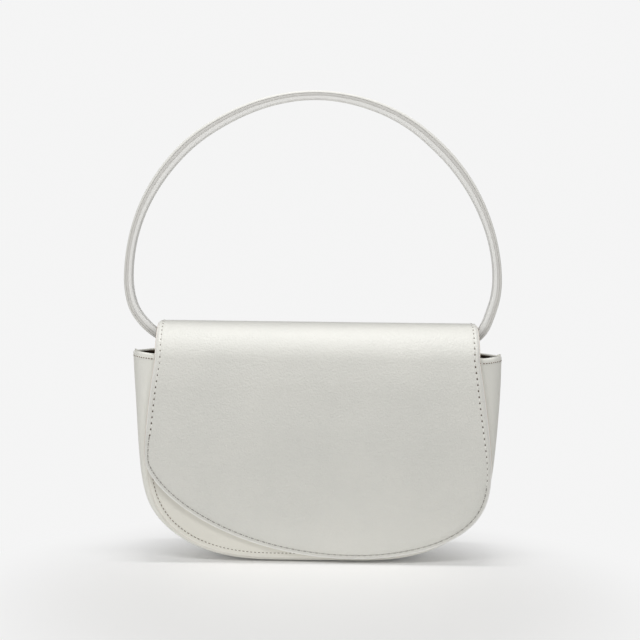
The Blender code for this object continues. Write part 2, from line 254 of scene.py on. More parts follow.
# leather cut to a half moon: a curved edge that hangs from a straight top.
# edge holds flat points (across, down) from the top left corner round to the top right one,
# place turns across, down and depth under the face into a point of the bag.
# insets and drops shape the rim and the groove of a seam, the plain ones a rim without a seam
sheet = {
    "spacing": 0.0005,
    "insets": (0.0, 0.00015, 0.0004, 0.0008, 0.0014, 0.0022, 0.0027, 0.003, 0.0033, 0.0037, 0.0046,
               0.0062, 0.0082),
    "drops": (0.00042, 0.00022, 0.0001, 0.00003, 0.0, 0.00002, 0.00009, 0.00014, 0.00009, 0.00002,
              0.0, 0.0, 0.0),
    "plainInsets": (0.0, 0.0002, 0.0008, 0.003, 0.0082), "plainDrops": (0.0003, 0.0001, 0.0, 0.0, 0.0),
    "sides": 74, "across": 92, "cornerShare": 0.36, "sidePower": 2.2, "sideDense": 0.7,
    "rimWidth": 0.0003, "rimFade": 0.0008, "skiveWidth": 0.0014, "middleDown": 0.06, "probe": 0.001,
}


def evenMargin(point):
    return 1.0


def noSkive(point, inset):
    return 0.0


def insetEdge(edge, normals, inset, margin=evenMargin):
    moved = [point + normal * (inset * margin(point)) for point, normal in zip(edge, normals)]
    first = next(i for i, point in enumerate(moved) if point.y > inset)
    last = next(i for i in range(len(moved) - 1, 0, -1) if moved[i].y > inset)
    start = first
    if first > 0:
        start = first - (moved[first].y - inset) / (moved[first].y - moved[first - 1].y)
    end = last
    if last < len(moved) - 1:
        end = last + (moved[last].y - inset) / (moved[last].y - moved[last + 1].y)
    return moved, max(start, 0.0), min(end, len(moved) - 1.0)


def halfMoon(name, edge, place, thickness, seam=True, across=sheet["across"], sides=sheet["sides"],
             margin=evenMargin, skive=noSkive):
    edge = evenly(edge, sheet["spacing"])
    normals = inward(edge)
    corners = [len(edge) * share for share in (sheet["cornerShare"], 1 - sheet["cornerShare"])]
    sideShares = [row / sides for row in range(sides + 1)]
    sideShares = [mix(share, share ** sheet["sidePower"], sheet["sideDense"]) for share in sideShares]
    bottomShares = [column / across for column in range(across + 1)]
    insets = sheet["insets" if seam else "plainInsets"]
    rings = []
    for inset, depth in zip(insets, sheet["drops" if seam else "plainDrops"]):
        moved, start, end = insetEdge(edge, normals, inset, margin)
        left = [pointAt(moved, mix(start, corners[0], share)) for share in sideShares]
        right = [pointAt(moved, mix(end, corners[1], share)) for share in sideShares]
        low = [pointAt(moved, mix(corners[0], corners[1], share)) for share in bottomShares]
        left[0].y = inset
        right[0].y = inset
        top = [left[0].lerp(right[0], share) for share in bottomShares]
        ring = top + right[1:] + low[::-1][1:] + left[::-1][1:]
        rings.append([place(point.x, point.y, depth + skive(point, inset)) for point in ring])
    band = rowPiece(name, rings)
    # the band along the edge takes the material's second colour, a painted highlight where the rounded edge
    # catches the light, fading out inwards
    rim = band.data.attributes.new("rim", "FLOAT", "POINT")
    rim.data.foreach_set("value", [1 - ease((inset - sheet["rimWidth"]) / sheet["rimFade"])
                                   for inset in insets for point in rings[0]])

    # the middle is stretched between the four sides of the last ring
    def inside(column, row):
        u = bottomShares[column]
        v = row / sides
        flat = (left[row] * (1 - u) + right[row] * u + top[column] * (1 - v) + low[column] * v
                - left[0] * ((1 - u) * (1 - v)) - right[0] * (u * (1 - v))
                - left[-1] * ((1 - u) * v) - right[-1] * (u * v))
        return place(flat.x, flat.y, depth)

    middle = gridPiece(name + "Middle", across, sides, inside)
    middle.data.attributes.new("rim", "FLOAT", "POINT")
    piece = weld(joined(name, [band, middle]))
    centre = place(0.0, sheet["middleDown"], 0.0)
    nearest = min(piece.data.polygons, key=lambda face: (face.center - centre).length)
    faceTowards(piece, nearest.index, centre - place(0.0, sheet["middleDown"], sheet["probe"]))
    return smooth(thicken(piece, thickness))


# painted edge: a bead along the cut edge, from the face of the top layer to that of the last
bead = {"out": 0.0003, "in": 0.0005, "fullness": 2.6, "sides": 12, "spacing": 0.0014}


def paintedEdge(name, edge, place, low, high, closed, skive=noSkive):
    line = evenly(edge, bead["spacing"])
    spots = list(zip(line, inward(line)))
    if closed:
        below = Vector((0.0, 1.0))
        count = int((line[-1] - line[0]).length / bead["spacing"])
        spots += [(line[-1].lerp(line[0], step / count), below) for step in range(1, count)]
        for corner in (0, len(line) - 1):
            spots[corner] = (line[corner], spots[corner][1] + below)
        spots.append(spots[0])
    half = (bead["out"] + bead["in"]) / 2

    def ring(column, row):
        point, normal = spots[row]
        out, deep = rounded(2 * math.pi * column / bead["sides"], 2 / bead["fullness"])
        flat = point + normal * (bead["in"] - half + half * out)
        return place(flat.x, flat.y, mix(low + skive(point, 0.0), high, (deep + 1) / 2))

    piece = gridPiece(name, bead["sides"], len(spots) - 1, ring)
    return smooth(weld(piece, closeHoles=not closed), 60)


# one stitch and one needle hole, modelled once and copied along each seam:
# sizes are along the seam, across it and out of the leather
# each needle hole is a dark shape whose colour is painted shade
sewing = {
    "pitch": 0.004, "thread": (0.0027, 0.0007, 0.0009), "hole": (0.0013, 0.00095, 0.0005),
    "flatThread": (0.0025, 0.0008, 0.0007), "flatHole": (0.0007, 0.0004, 0.0004),
    "densePitch": 0.0026, "denseThread": (0.0013, 0.00045, 0.0005), "denseHole": (0.0018, 0.00045, 0.0004),
    "hemThread": (0.0012, 0.0005, 0.0006), "hemHole": (0.0018, 0.0007, 0.0005),
    "leftTurnZ": 0.083, "rightTurnZ": 0.051, "segments": 10, "rings": 6,
}


def sewRow(name, spots, thread=sewing["thread"], hole=sewing["hole"], pitch=sewing["pitch"]):
    rows = []
    for title, size, ahead in ((name + "Thread", thread, 0.0), (name + "Holes", hole, pitch / 2)):
        bpy.ops.object.select_all(action="DESELECT")
        bpy.ops.mesh.primitive_uv_sphere_add(segments=sewing["segments"], ring_count=sewing["rings"],
                                             radius=0.5)
        shape = bpy.context.active_object
        shape.name = title
        shape.scale = size
        bpy.ops.object.transform_apply(location=False, rotation=False, scale=True)
        copies = []
        for point, along, outward in spots:
            matrix = Matrix((along, outward.cross(along), outward)).transposed().to_4x4()
            matrix.translation = point + along * ahead
            copy = bpy.data.objects.new(title, shape.data.copy())
            copy.data.transform(matrix)
            bpy.context.scene.collection.objects.link(copy)
            copies.append(copy)
        bpy.data.objects.remove(shape)
        rows.append(smooth(joined(title, copies), 60))
    return rows


# places along a seam that runs inside a curved edge
def seamSpots(edge, place, inset, depth, pitch=sewing["pitch"], closed=False, margin=evenMargin,
              skive=noSkive):
    edge = evenly(edge, sheet["spacing"])
    moved, start, end = insetEdge(edge, inward(edge), inset, margin)
    line = [pointAt(moved, start)] + moved[int(start) + 1:int(end) + 1] + [pointAt(moved, end)]
    line = evenly(line, pitch)
    if closed:
        count = int(round((line[-1] - line[0]).length / pitch))
        line += [line[-1].lerp(line[0], step / count) for step in range(1, count)]
    spots = []
    for index, point in enumerate(line):
        following = line[(index + 1) % len(line)] if closed or index < len(line) - 1 else point
        before = line[index - 1] if closed or index else point
        deep = depth + skive(point, inset)
        here = place(point.x, point.y, deep)
        along = (place(following.x, following.y, deep) - place(before.x, before.y, deep))
        outward = here - place(point.x, point.y, deep + sheet["probe"])
        along = (along - outward * (along.dot(outward) / outward.length_squared)).normalized()
        spots.append((here, along, outward.normalized()))
    return spots


# gusset: one strip round the sides and bottom, folded over at both rims into a sewn hem
gusset = {
    "thickness": 0.0011, "flange": 0.006, "flangeLeast": 0.0055,
    "taperStart": 0.019, "taperEnd": 0.008, "floorPower": 5.0, "rimPower": 1.2,
    "foldRadius": 0.0014, "foldSteps": 9, "hemDepth": 0.0019, "hemSteps": 4,
    "across": 60, "spacing": 0.0022, "rimSteps": 70, "cornerSteps": 120, "rimGap": 0.001,
    "slack": 0.00035, "slackRise": 0.03, "stitchDrop": 0.0033, "stitchPitch": 0.0027,
    "stitchLift": 0.00005, "liningDrop": 0.0011,
    "sag": (0.0, 0.0008), "tuck": (0.0005, 0.001), "sagStart": 0.014, "sagWidth": 0.018, "sagPower": 6,
}


def halfSeam():
    steps = gusset["rimSteps"]
    heights = [mix(body["rimZ"], body["widestZ"], step / steps) for step in range(steps)]
    points = [Vector((seamX(z), z)) for z in heights]
    for step in range(gusset["cornerSteps"] + 1):
        across, down = rounded(math.pi / 2 * step / gusset["cornerSteps"], 2 / body["cornerPower"])
        points.append(Vector((mix(body["floorHalf"], body["widestHalf"], across),
                              body["widestZ"] * (1 - down))))
    return points + [Vector((0.0, 0.0))]


def seamStations(spacing):
    line = evenly(halfSeam(), spacing)
    stations = []
    for point, normal in zip(line, sideways(line)):
        if point.y > body["widestZ"]:
            normal = Vector((1.0, 0.0))
        if point.x < body["floorHalf"]:
            normal = Vector((0.0, -1.0))
        stations.append((point, normal))
    return stations


def bulge(z):
    opening = (z - body["lowBulgeZ"]) / (body["rimZ"] + body["fullBulgeRise"] - body["lowBulgeZ"])
    return (body["lowBulge"] * ease(z / body["lowBulgeZ"])
            + (body["fullBulge"] - body["lowBulge"]) * ease(opening))


# a place on the seam near the rim, where its sides stand upright
def rimStation(z):
    return Vector((seamX(z), z)), Vector((1.0, 0.0))


# section across the strip: distance from the middle against distance inside the seam
def gussetSection(z):
    power = mix(gusset["floorPower"], gusset["rimPower"], z / body["rimZ"])
    half = halfDepth(z)
    share = (z - body["rimZ"] + gusset["taperStart"]) / (gusset["taperStart"] - gusset["taperEnd"])
    flange = mix(gusset["flange"], gusset["flangeLeast"], min(max(share, 0.0), 1.0))
    line = [Vector((-half, body["bend"] + flange)), Vector((-half, body["bend"] + flange / 2))]
    count = gusset["across"] - 4
    for step in range(count + 1):
        out, across = rounded(math.pi * (step / count - 0.5), 2 / power)
        line.append(Vector((half * across, body["bend"] - (body["bend"] + bulge(z)) * out)))
    line.append(Vector((half, body["bend"] + flange / 2)))
    line.append(Vector((half, body["bend"] + flange)))
    return line


def stripPoint(station, flat, mirror):
    point, normal = station
    level = point.y - normal.y * flat.y
    wedge = halfDepth(level) / halfDepth(point.y)
    x = point.x - normal.x * flat.y
    # the ends of the rim sag and tuck in a little
    share = ease((x - body["topHalf"] + gusset["sagStart"]) / gusset["sagWidth"])
    share *= (max(level, 0.0) / body["rimZ"]) ** gusset["sagPower"]
    side = 0 if mirror < 0 else 1
    return Vector((mirror * (x - gusset["tuck"][side] * share), body["middleY"] + flat.x * wedge,
                   level - gusset["sag"][side] * share))


# from 0 at both rims of a strip to 1 at its middle
def spread(index, line):
    return math.sin(math.pi * index / (len(line) - 1)) ** 2


def gussetRow(station, depth, mirror):
    z = station[0].y
    line = gussetSection(z)
    normals = sideways(line)
    row = []
    for index, (flat, normal) in enumerate(zip(line, normals)):
        soft = gusset["slack"] * spread(index, line) * slack(flat.x, z, 5.0 + mirror)
        soft *= ease(z / gusset["slackRise"])
        row.append(stripPoint(station, flat + normal * (depth - soft), mirror))
    return row


def gussetPlaces():
    radius = gusset["foldRadius"]
    first = body["rimZ"] - radius
    hem = body["rimZ"] - gusset["hemDepth"]
    places = [(rimStation(mix(hem, first, step / gusset["hemSteps"])), 2 * radius)
              for step in range(gusset["hemSteps"] + 1)]
    for step in range(1, gusset["foldSteps"]):
        turn = math.pi * (1 - step / gusset["foldSteps"])
        places.append((rimStation(first + radius * math.sin(turn)), radius * (1 - math.cos(turn))))
    places.append((rimStation(first), 0.0))
    return places + [(station, 0.0) for station in seamStations(gusset["spacing"])
                     if station[0].y < first - gusset["rimGap"]]


def sewHems():
    z = body["rimZ"] - gusset["stitchDrop"]
    middle = Vector((0.0, body["middleY"], z))
    spots = []
    for mirror in (-1, 1):
        line = evenly(gussetRow(rimStation(z), 0.0, mirror), gusset["stitchPitch"])
        for index in range(1, len(line) - 1):
            along = (line[index + 1] - line[index - 1]).normalized()
            outward = along.cross(Vector((0.0, 0.0, 1.0))).normalized()
            if outward.dot(line[index] - middle) < 0:
                outward = -outward
            spots.append((line[index] + outward * gusset["stitchLift"], along, outward))
    return sewRow("hem", spots, sewing["hemThread"], sewing["hemHole"], gusset["stitchPitch"])


gussetLeather = stripPiece("gussetLeather", gussetRow, gussetPlaces(), gusset["thickness"])
settle("bag_body", ("gusset", "gusset_facing_left", "gusset_facing_right"), gussetLeather, *sewHems())
print("gusset sewn")

# front and back panels, lapped over the gusset's flanges
panel = {
    "thickness": 0.0016, "trim": 0.0003, "inset": 0.003, "topInset": 0.0034, "topInsetDrop": 0.052,
    "puff": 0.0003, "puffTop": 0.03, "puffLow": 0.02, "spacing": 0.001,
    "paintDepth": 0.0002, "seamDepth": 0.00012,
}


def panelEdge(top, inset=panel["inset"], topInset=panel["topInset"]):
    def narrower(z):
        return topInset * ease((z - body["rimZ"]) / panel["topInsetDrop"] + 1)

    right = [Vector((seamX(top) - inset - narrower(top), 0.0))]
    for point, normal in seamStations(panel["spacing"]):
        moved = point - normal * inset
        if moved.y < top - gusset["rimGap"]:
            right.append(Vector((moved.x - narrower(moved.y), top - moved.y)))
    left = [Vector((-point.x, point.y)) for point in right]
    return left[:-1] + right[::-1]


def panelPlace(top, facing, face):
    def place(x, down, depth):
        z = top - down
        y = facing * (halfDepth(z) + face - depth * math.cos(lean))
        return Vector((x, body["middleY"] + y, z - depth * math.sin(lean)))
    return place


# slack of a sheet fades out towards its top edge and its lowest point
def fadeIn(down, low, top, bottom):
    return ease(down / top) * ease((low - down) / bottom)


def makePanel(name, node, facing):
    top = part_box(node)[1].z
    edge = panelEdge(top)
    flat = panelPlace(top, facing, body["panelFace"])
    low = edge[len(edge) // 2].y

    def place(x, down, depth):
        soft = panel["puff"] * (slack(x, down, 9.0 + facing) - 1) * 0.5
        return flat(x, down, depth - soft * fadeIn(down, low, panel["puffTop"], panel["puffLow"]))

    piece = halfMoon(name, edge, place, panel["thickness"] - panel["trim"])
    paint = paintedEdge(name + "Edge", edge, flat, panel["paintDepth"], panel["thickness"], True)
    spots = seamSpots(edge, flat, body["stitchInset"], panel["seamDepth"], sewing["densePitch"], True)
    seam = sewRow(name + "Seam", spots, sewing["denseThread"], sewing["denseHole"], sewing["densePitch"])
    settle("bag_body", [node], piece, paint, *seam)


makePanel("frontPanel", "front_panel", -1)
makePanel("backPanel", "back_panel", 1)
print("panels sewn")

# inside: a lining of three sheets, with leather facings under the front and back rims
lining = {
    "depth": 0.0017, "thickness": 0.0008, "trim": 0.0002, "inset": 0.0034, "across": 60, "sides": 44,
    "slack": 0.0004, "slackScale": 1.7, "slackEdge": 0.02, "gap": 0.0001, "spacing": 0.003,
    "facing": 0.02, "facingThickness": 0.0009, "facingGap": 0.0003, "facingColumns": 80, "facingRows": 12,
    "facingDrop": 0.0003, "facingRim": 0.0004, "seamTop": 0.003, "seamLow": 0.0025, "seamEnds": 0.004,
    "seamLift": 0.00005,
}


def makeLining(name, node, facing):
    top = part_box(node)[1].z
    edge = panelEdge(top, lining["inset"], 0.0)
    flat = panelPlace(top, facing, -lining["depth"] - lining["thickness"])
    low = edge[len(edge) // 2].y

    # the face that shows is the inner one, so depth counts outwards
    def place(x, down, depth):
        scale = lining["slackScale"]
        soft = lining["slack"] * (slack(x * scale, down * scale, 3.0 + facing) + 1) * 0.5
        return flat(x, down, -depth + soft * fadeIn(down, low, lining["slackEdge"], lining["slackEdge"]))

    piece = halfMoon(name, edge, place, lining["thickness"] - lining["trim"], False, lining["across"],
                     lining["sides"])
    settle("bag_body", [node], piece)


def gussetLiningRow(station, depth, mirror):
    z = station[0].y
    line = gussetSection(z)[2:-2]
    squeeze = 1 - (lining["depth"] + lining["thickness"]) / halfDepth(z)
    row = []
    for index, flat in enumerate(line):
        soft = lining["slack"] * (1 + slack(flat.x * 2, z * 2, 4.0)) * spread(index, line)
        deep = min(flat.y, body["bend"]) + depth + soft
        row.append(stripPoint(station, Vector((flat.x * squeeze, deep)), mirror))
    return row


def makeGussetLining():
    top = body["rimZ"] - gusset["liningDrop"]
    depth = lining["depth"] + lining["gap"]
    places = [(rimStation(top), depth)] + [(station, depth) for station in seamStations(lining["spacing"])
                                           if station[0].y < top - gusset["rimGap"]]
    settle("bag_body", ["gusset_lining"], stripPiece("gussetLining", gussetLiningRow, places,
                                                     lining["thickness"]))


# a strip of leather inside each long rim, with the thread of the rim seam through it
def makeFacing(name, node, facing):
    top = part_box(node)[1].z
    flat = panelPlace(top, facing, -lining["depth"] - lining["facingThickness"])
    half = seamX(top) - lining["inset"] - lining["facingGap"]
    height = lining["facing"]
    columns, rows = lining["facingColumns"], lining["facingRows"]
    outward = Vector((0.0, -facing, 0.0))

    def place(column, row):
        down = ease(row / rows) * height
        drop = lining["facingDrop"] * bell(min(down, height - down), 0.0, lining["facingRim"])
        return flat((2 * column / columns - 1) * half, down, -drop)

    piece = gridPiece(name, columns, rows, place)
    faceTowards(piece, columns * rows // 2, outward)
    smooth(thicken(piece, lining["facingThickness"] - lining["trim"]))
    count = int(2 * (half - lining["seamEnds"]) / sewing["pitch"])
    spots = [(flat((step - count / 2) * sewing["pitch"], level, -lining["seamLift"]),
              Vector((1.0, 0.0, 0.0)), outward)
             for level in (lining["seamTop"], height - lining["seamLow"]) for step in range(count + 1)]
    settle("bag_body", [node], piece, *sewRow(name + "Seam", spots))


makeLining("frontLining", "front_lining", -1)
makeLining("backLining", "back_lining", 1)
makeGussetLining()
makeFacing("frontFacing", "front_facing", -1)
makeFacing("backFacing", "back_facing", 1)
print("lining in")

# flap: over a half-round roll from the back hinge, then down the front
flap = {
    "crestZ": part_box("flap_leather")[1].z, "rollRadius": 0.0252511, "startZ": 0.1324,
    "leftTop": 0.1075, "leftWidest": 0.1138, "leftWidestZ": 0.0685, "leftSidePower": 1.58,
    "leftPowers": (1.564, 1.979), "rightTop": 0.1068, "rightWidest": 0.1154, "rightWidestZ": 0.068,
    "rightSidePower": 1.32, "rightPowers": (3.2, 1.97), "tipX": 0.0253, "tipZ": 0.0033,
    "rollSteps": 40, "sideSteps": 60, "curveSteps": 160,
    "across": 110, "sides": 130, "liningAcross": 80, "liningSides": 100,
    "lowMargin": 0.8, "leftMargin": 1.15, "leftMarginZ": (0.078, 0.09), "rightMargin": 1.38,
    "rightMarginZ": (0.045, 0.1), "rollMargin": -0.22, "rollMarginZ": (0.105, 0.135),
    "leather": 0.0012, "liningDepth": 0.0024, "liningThickness": 0.0006, "total": 0.003,
    "paintDepth": 0.0002, "seamDepth": 0.0001,
    "bow": 0.0032, "bowStart": -0.027, "bowRise": 0.048, "bowFallStart": 0.04, "bowFall": 0.08,
    "slack": 0.00016, "slackStart": 0.02, "slackRise": 0.05,
    "skive": 0.0011, "lowSkive": 0.0002, "pare": 0.0013, "skiveZ": (0.045, 0.078),
    "bendLift": 0.0003, "bendRise": 0.34, "bendLength": 0.0011,
    # heights over which the edge paint turns to its painted highlight and the side seam's holes to their
    # painted light
    "edgeHighlightHeights": (0.072, 0.058), "holeLightHeights": (0.132, 0.15),
}
rollCentre = Vector((handleHinge.y, flap["crestZ"] - flap["rollRadius"]))
frontStartZ = rollCentre.y + flap["rollRadius"] * math.sin(lean)
rollFirst = math.asin((flap["startZ"] - rollCentre.y) / flap["rollRadius"])
rollLength = (math.pi - lean - rollFirst) * flap["rollRadius"]


# how far the flap's edge lies across, to the left or the right
def flapSide(side, z):
    sign = -1 if side == "left" else 1
    widest, widestZ = sign * flap[side + "Widest"], flap[side + "WidestZ"]
    if z >= widestZ:
        leftOver = min((z - widestZ) / (frontStartZ - widestZ), 1.0)
        return mix(sign * flap[side + "Top"], widest, 1.0 - leftOver ** flap[side + "SidePower"])
    down = (widestZ - z) / (widestZ - flap["tipZ"])
    downPower, acrossPower = flap[side + "Powers"]
    return flap["tipX"] + (widest - flap["tipX"]) * max(1.0 - down ** downPower, 0.0) ** (1 / acrossPower)


def flapDown(z):
    return rollLength + (frontStartZ - z) / math.cos(lean)


def flapEdge():
    lines = []
    for side, top in (("left", -flap["leftTop"]), ("right", flap["rightTop"])):
        widest = flap[side + "WidestZ"]
        steps = flap["rollSteps"]
        line = [Vector((top, rollLength * step / steps)) for step in range(steps)]
        heights = [mix(frontStartZ, widest, step / flap["sideSteps"]) for step in range(flap["sideSteps"])]
        heights += [mix(widest, flap["tipZ"], math.sin(math.pi / 2 * step / flap["curveSteps"]))
                    for step in range(flap["curveSteps"])]
        lines.append(line + [Vector((flapSide(side, z), flapDown(z))) for z in heights])
    left, right = lines
    return left + [Vector((flap["tipX"], flapDown(flap["tipZ"])))] + right[::-1]


# height of a flat point on the flap's front
def frontZ(point):
    return frontStartZ - (point.y - rollLength) * math.cos(lean)


# how far z has come from the first height to the second, eased at both
def risen(z, heights):
    low, high = heights
    return ease((z - low) / (high - low))


# the seam keeps further from the edge on the right than on the left and below
def flapMargin(point):
    z = frontZ(point)
    left, right = (mix(flap["lowMargin"], flap[side + "Margin"], risen(z, flap[side + "MarginZ"]))
                   for side in ("left", "right"))
    right += flap["rollMargin"] * (risen(z, flap["rollMarginZ"]) if point.y > rollLength else 1.0)
    return mix(left, right, ease(point.x / flap["rightTop"] + 0.5))


# the edge is bevelled at the sides and pared thin over a wider band along the bottom
def flapSkive(point, inset):
    share = risen(frontZ(point), flap["skiveZ"])
    bevel = mix(flap["lowSkive"], flap["skive"], share) * (1 - ease(inset / sheet["skiveWidth"]))
    return bevel + flap["pare"] * (1 - share) * (1 - ease(inset / sheet["insets"][-1]))


def flapPlace(x, down, depth):
    turn = rollFirst + down / flap["rollRadius"]
    past = down - rollLength        # how far below the roll
    if past < 0:
        radial = Vector((math.cos(turn), math.sin(turn)))
    else:
        radial = Vector((-math.cos(lean), math.sin(lean)))
    spot = rollCentre + radial * (flap["rollRadius"] - depth)
    spot += Vector((-math.sin(lean), -math.cos(lean))) * max(past, 0.0)
    bowed = 0.0
    if turn > math.pi / 2:
        rise = ease((past - flap["bowStart"]) / flap["bowRise"])
        fall = ease((past - flap["bowFallStart"]) / flap["bowFall"])
        bowed = flap["bow"] * rise * (1 - fall)
    wave = flap["slack"] * slack(x, down, 1.0) * ease((down - flap["slackStart"]) / flap["slackRise"])
    spot += radial * (bowed + wave)
    return Vector((x, spot.x, spot.y))


# the piece's placement is baked into its points
def hang(piece):
    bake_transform(piece)


# the lining's seen face is its inner one
def underFlap(x, down, depth):
    return flapPlace(x, down, flap["total"] - depth)


def makeFlap():
    edge = flapEdge()
    outer = halfMoon("flapLeather", edge, flapPlace, flap["leather"], True, flap["across"], flap["sides"],
                     flapMargin, flapSkive)
    inner = halfMoon("flapLining", edge, underFlap, flap["liningThickness"], False, flap["liningAcross"],
                     flap["liningSides"])
    paint = paintedEdge("flapEdge", edge, flapPlace, flap["paintDepth"], flap["total"] - flap["paintDepth"],
                        False, flapSkive)
    spots = seamSpots(edge, flapPlace, body["stitchInset"], flap["seamDepth"], margin=flapMargin,
                      skive=flapSkive)
    steep = [spot for spot in spots
             if spot[0].z > (sewing["leftTurnZ"] if spot[0].x < 0 else sewing["rightTurnZ"])]
    shallow = [spot for spot in spots if spot not in steep]
    sideRow = sewRow("flapSideSeam", steep)
    lowRow = sewRow("flapLowSeam", shallow, sewing["flatThread"], sewing["flatHole"])
    for piece in (outer, *sideRow, *lowRow):
        hang(piece)
    hang(inner)
    hang(paint)
    standFor(outer, "flap_leather")
    standFor(inner, "flap_lining")


makeFlap()
print("flap hung")

# handle: two crowned straps glued to a core, seen edge-on from the front.
# the soft arch leans to its left between its feet and its top
handle = {
    "between": 0.1074, "footTuck": 0.0144, "footHalf": 0.0312, "footDrop": 0.0431, "archRise": 0.1231,
    "archPower": 1.95, "width": 0.011, "thickness": 0.0064, "core": 0.0024, "coreShift": 0.00045,
    "outerCrown": 3.0, "innerCrown": 8.0, "ring": 28, "corePower": 0.3, "coreRing": 24, "seat": 0.00015,
    "endShare": 0.8, "startDegrees": 11.0, "fullDegrees": 45.0, "footSteps": 30, "archSteps": 90,
    "footLean": -0.0041, "footLeanStart": -0.004, "footLeanRise": 0.03,
    "sideLean": -0.0006, "sideLeanStart": 0.045, "sideLeanRise": 0.055,
    "topLean": 0.0018, "topLeanStart": 0.131, "topLeanRise": 0.026,
    "shoulder": 0.156, "shoulderRise": 0.132, "shoulderSpread": 0.035, "top": -0.133, "topSpread": 0.036,
    "waist": -0.14, "waistRise": 0.062, "waistSpread": 0.035,
}
footCentreX = handle["between"] - handle["footTuck"]
archHalf = footCentreX + handle["footHalf"]
archCentreZ = handleHinge.z + handle["footDrop"]


def handleStations():
    right = []
    for step in range(handle["footSteps"]):
        degrees = mix(handle["startDegrees"], 90.0, step / handle["footSteps"])
        turn = math.radians(degrees)
        place = Vector((footCentreX + handle["footHalf"] * math.sin(turn),
                        archCentreZ - handle["footDrop"] * math.cos(turn)))
        along = Vector((handle["footHalf"] * math.cos(turn), handle["footDrop"] * math.sin(turn)))
        share = (degrees - handle["startDegrees"]) / (handle["fullDegrees"] - handle["startDegrees"])
        right.append((place, along.normalized(), mix(handle["endShare"], 1.0, ease(share))))
    for step in range(handle["archSteps"]):
        turn = math.pi / 2 * step / handle["archSteps"]
        across, up = rounded(turn, 2 / handle["archPower"])
        place = Vector((archHalf * across, archCentreZ + handle["archRise"] * up))
        along = Vector((-up ** (handle["archPower"] - 1) / handle["archRise"],
                        across ** (handle["archPower"] - 1) / archHalf))
        right.append((place, along.normalized(), 1.0))
    top = [(Vector((0.0, archCentreZ + handle["archRise"])), Vector((-1.0, 0.0)), 1.0)]
    left = [(Vector((-place.x, place.y)), Vector((along.x, -along.y)), share)
            for place, along, share in right[::-1]]
    return right + top + left


def leanOf(place):
    rise = place.y - handleHinge.z
    return sum(handle[part + "Lean"] * ease((rise - handle[part + "LeanStart"]) / handle[part + "LeanRise"])
               for part in ("foot", "side", "top"))


# the strap is a little thicker at its shoulders, and thinner at its top and where the flap swings past
def swell(place):
    rise = place.y - handleHinge.z
    return (1.0 + handle["shoulder"] * bell(rise, handle["shoulderRise"], handle["shoulderSpread"])
            + handle["waist"] * bell(rise, handle["waistRise"], handle["waistSpread"])
            + handle["top"] * bell(place.x, 0.0, handle["topSpread"]))


def handleLayer(name, node, section):
    stations = handleStations()

    def ring(column, row):
        place, along, share = stations[row]
        out = Vector((along.y, -along.x))
        y, off = section[column % len(section)]
        spot = place + out * (off * share * swell(place))
        return Vector((spot.x + leanOf(place), handleHinge.y + y * share, spot.y))

    settle("handle", [node], tubePiece(gridPiece(name, len(section), len(stations) - 1, ring)))


# section of a crowned strap: flat where it is glued, rounded on its seen face
def crownedSection(side, power):
    half = handle["width"] / 2
    base = handle["coreShift"] + side * (handle["core"] / 2 - handle["seat"])
    points = []
    for step in range(handle["ring"]):
        across, up = rounded(math.pi * step / (handle["ring"] - 1), 2 / power)
        points.append((half * across, mix(base, side * handle["thickness"] / 2, up)))
    return points + [(-half / 2, base), (0.0, base), (half / 2, base)]


def coreSection():
    half = handle["width"] / 2 - handle["seat"]
    corners = [rounded(2 * math.pi * step / handle["coreRing"], handle["corePower"])
               for step in range(handle["coreRing"])]
    return [(half * across, handle["coreShift"] + handle["core"] / 2 * up) for across, up in corners]


handleLayer("handleOuter", "handle_outer", crownedSection(1, handle["outerCrown"]))
handleLayer("handleInner", "handle_inner", crownedSection(-1, handle["innerCrown"]))
handleLayer("handleCore", "handle_core", coreSection())
print("handle bent")

# ends of the strap: a bored barrel on its pin, then a neck that meets the strap's narrow end
strapEnd = {
    "barrel": ((0.0968, 0.0018), (0.092, 0.0018), (0.0917, 0.0021), (0.0917, 0.0031), (0.0919, 0.0033),
               (0.0922, 0.0034), (0.0968, 0.0034), (0.0971, 0.0033)),
    "neck": ((0.0015, 0.95), (0.0012, 1.0), (0.0006, 1.0), (0.0003, 0.97)),
    "cornerPower": 5.0, "halfWidth": 0.0044, "halfThickness": 0.0028, "ring": 48,
}


def makeStrapEnd(name, node, mirror):
    turns = [2 * math.pi * step / strapEnd["ring"] for step in range(strapEnd["ring"] + 1)]
    rows = []
    for x, radius in strapEnd["barrel"]:
        rows.append([Vector((mirror * x, handleHinge.y + radius * math.cos(turn),
                             handleHinge.z + radius * math.sin(turn))) for turn in turns])
    place, along, share = handleStations()[0]
    out = Vector((-along.y, along.x))
    for back, scale in strapEnd["neck"]:
        row = []
        for turn in turns:
            y, off = rounded(turn, 2 / strapEnd["cornerPower"])
            spot = place - along * back + out * (off * strapEnd["halfThickness"] * scale)
            row.append(Vector((mirror * spot.x + leanOf(place),
                               handleHinge.y + y * strapEnd["halfWidth"] * scale, spot.y)))
        rows.append(row)
    settle("handle", [node], tubePiece(rowPiece(name, rows)))


makeStrapEnd("strapEndLeft", "handle_end_left", -1)
makeStrapEnd("strapEndRight", "handle_end_right", 1)

# folded leather tabs round the pins, each sewn to the back facing by its foot
tab = {
    "x": 0.0879, "halfWidth": 0.0035, "thickness": 0.0012, "gap": 0.0003, "inside": 0.0035,
    "footDrop": 0.029, "bendDrop": 0.01, "neck": 0.008, "tail": 0.014, "tailShare": 1.4,
    "radius": 0.0024, "wrapDegrees": 220.0, "loopSteps": 24, "spacing": 0.0004, "soften": 4,
    "ring": 24, "edgePower": 6.0, "stitchX": 0.0023, "stitchPitch": 0.0025, "stitchStart": 0.002,
}


def tabFoot(z):
    return Vector((body["middleY"] + halfDepth(z) - tab["inside"], z))


